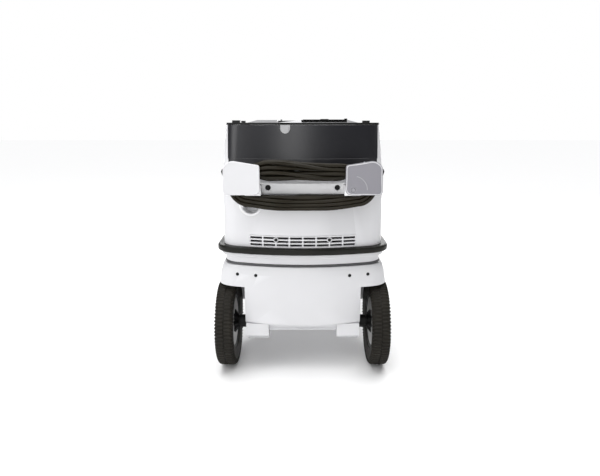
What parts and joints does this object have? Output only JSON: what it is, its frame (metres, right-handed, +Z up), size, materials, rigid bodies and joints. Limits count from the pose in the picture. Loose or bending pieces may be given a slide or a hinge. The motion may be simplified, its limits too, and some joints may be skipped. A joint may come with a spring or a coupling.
{
  "type": "mobile dust extractor",
  "caption": "Wheeled dust container under a suction head with a hose tray, rear cable holder with wound mains cable, large rear wheels and braked front castors.",
  "frame": {"origin": "on the floor under the middle of the machine, measured without the mains cable and its plug", "axes": "+Z up; +Y to the operating side with the controls, grip and hose port; -Y to the rear with the cable holder; X across the wheels"},
  "size_m": [0.365, 0.63, 0.537],
  "materials": {
    "light_plastic": "fine-grained light grey moulding",
    "black_plastic": "fine-grained black moulding",
    "gloss_plastic": "polished dark smoke",
    "grey_plastic": "mid grey moulding",
    "tyre_rubber": "ribbed tread",
    "seal_rubber": "satin",
    "cable_sheath": "smooth flexible cable sheath",
    "steel": "zinc plated",
    "motor_metal": "cast",
    "filter_media": "filter fleece"
  },
  "bodies": {
    "machine": {"container": "light_plastic", "tank_seal": "seal_rubber", "head_base": "light_plastic", "seam_band": "seal_rubber", "head_housing": "light_plastic", "hose_tray": "gloss_plastic", "tray_rim": "black_plastic", "exhaust_grille": "light_plastic", "grille_screw_left": "steel", "grille_screw_right": "steel", "cable_holder": "light_plastic", "holder_screw_left": "black_plastic", "holder_screw_right": "black_plastic", "bracket_left": "light_plastic", "bracket_pin": "grey_plastic", "cable_cup": "light_plastic", "strain_relief": "cable_sheath", "cable_lead": "cable_sheath", "cable_coil": "cable_sheath", "cable_tail": "cable_sheath", "mains_plug": "black_plastic", "rear_axle": "steel", "axle_bush_left": "black_plastic", "axle_bush_right": "black_plastic", "strap_lug_left": "black_plastic", "strap_lug_right": "black_plastic", "control_panel": "black_plastic", "appliance_socket": "grey_plastic", "front_grip": "black_plastic", "hose_port": "black_plastic", "main_filter": "filter_media", "filter_bag": "filter_media", "suction_motor": "motor_metal", "blower_housing": "black_plastic"},
    "wheel_left": {"tyre_left": "tyre_rubber", "wheel_hub_left": "grey_plastic", "wheel_cap_left": "black_plastic"},
    "wheel_right": {"tyre_right": "tyre_rubber", "wheel_hub_right": "grey_plastic", "wheel_cap_right": "black_plastic"},
    "castor_left": {"castor_fork_left": "grey_plastic", "castor_axle_left": "steel"},
    "castor_right": {"castor_fork_right": "grey_plastic", "castor_axle_right": "steel"},
    "castor_roller_left": {"castor_wheel_left": "tyre_rubber"},
    "castor_roller_right": {"castor_wheel_right": "tyre_rubber"},
    "brake_left": {"castor_brake_left": "black_plastic"},
    "brake_right": {"castor_brake_right": "black_plastic"},
    "latch_left": {"side_latch_left": "black_plastic"},
    "latch_right": {"side_latch_right": "black_plastic"},
    "cable_bracket": {"bracket_right": "light_plastic"},
    "mode_switch": {"mode_knob": "grey_plastic"},
    "suction_control": {"suction_dial": "grey_plastic"},
    "socket_cover": {"socket_flap": "black_plastic"},
    "compartment_lid": {"console_lid": "black_plastic"},
    "fan": {"impeller": "grey_plastic"}
  },
  "joints": [
    {"name": "wheel_left_spin", "type": "hinge", "parent": "machine", "child": "wheel_left", "pos_m": [-0.163, -0.205, 0.095], "axis": [1, 0, 0], "continuous": true},
    {"name": "wheel_right_spin", "type": "hinge", "parent": "machine", "child": "wheel_right", "pos_m": [0.163, -0.205, 0.095], "axis": [1, 0, 0], "continuous": true},
    {"name": "castor_left_swivel", "type": "hinge", "parent": "machine", "child": "castor_left", "pos_m": [-0.118, 0.228, 0.099], "axis": [0, 0, 1], "continuous": true},
    {"name": "castor_left_roll", "type": "hinge", "parent": "castor_left", "child": "castor_roller_left", "pos_m": [-0.118, 0.206, 0.038], "axis": [1, 0, 0], "continuous": true},
    {"name": "castor_left_brake", "type": "hinge", "parent": "castor_left", "child": "brake_left", "pos_m": [-0.118, 0.197, 0.082], "axis": [1, 0, 0], "range_deg": [0, 10]},
    {"name": "castor_right_swivel", "type": "hinge", "parent": "machine", "child": "castor_right", "pos_m": [0.118, 0.228, 0.099], "axis": [0, 0, 1], "continuous": true},
    {"name": "castor_right_roll", "type": "hinge", "parent": "castor_right", "child": "castor_roller_right", "pos_m": [0.118, 0.206, 0.038], "axis": [1, 0, 0], "continuous": true},
    {"name": "castor_right_brake", "type": "hinge", "parent": "castor_right", "child": "brake_right", "pos_m": [0.118, 0.197, 0.082], "axis": [1, 0, 0], "range_deg": [0, 10]},
    {"name": "latch_left_open", "type": "hinge", "parent": "machine", "child": "latch_left", "pos_m": [-0.175, 0.02, 0.211], "axis": [0, -1, 0], "range_deg": [0, 70]},
    {"name": "latch_right_open", "type": "hinge", "parent": "machine", "child": "latch_right", "pos_m": [0.175, 0.02, 0.211], "axis": [0, 1, 0], "range_deg": [0, 70]},
    {"name": "bracket_turn", "type": "hinge", "parent": "machine", "child": "cable_bracket", "pos_m": [0.095, -0.312, 0.403], "axis": [0, -1, 0], "range_deg": [0, 90]},
    {"name": "mode_turn", "type": "hinge", "parent": "machine", "child": "mode_switch", "pos_m": [-0.062, 0.237, 0.5105], "axis": [0, 0.5, 0.866], "range_deg": [-60, 60]},
    {"name": "suction_turn", "type": "hinge", "parent": "machine", "child": "suction_control", "pos_m": [0.004, 0.237, 0.5105], "axis": [0, 0.5, 0.866], "range_deg": [-270, 0]},
    {"name": "socket_cover_open", "type": "hinge", "parent": "machine", "child": "socket_cover", "pos_m": [0.078, 0.2154, 0.5281], "axis": [1, 0, 0], "range_deg": [0, 105]},
    {"name": "compartment_open", "type": "hinge", "parent": "machine", "child": "compartment_lid", "pos_m": [0.0615, 0.152, 0.5344], "axis": [1, 0, 0], "range_deg": [0, 100]},
    {"name": "fan_spin", "type": "hinge", "parent": "machine", "child": "fan", "pos_m": [0, 0.04, 0.315], "axis": [0, 0, 1], "continuous": true}
  ]
}
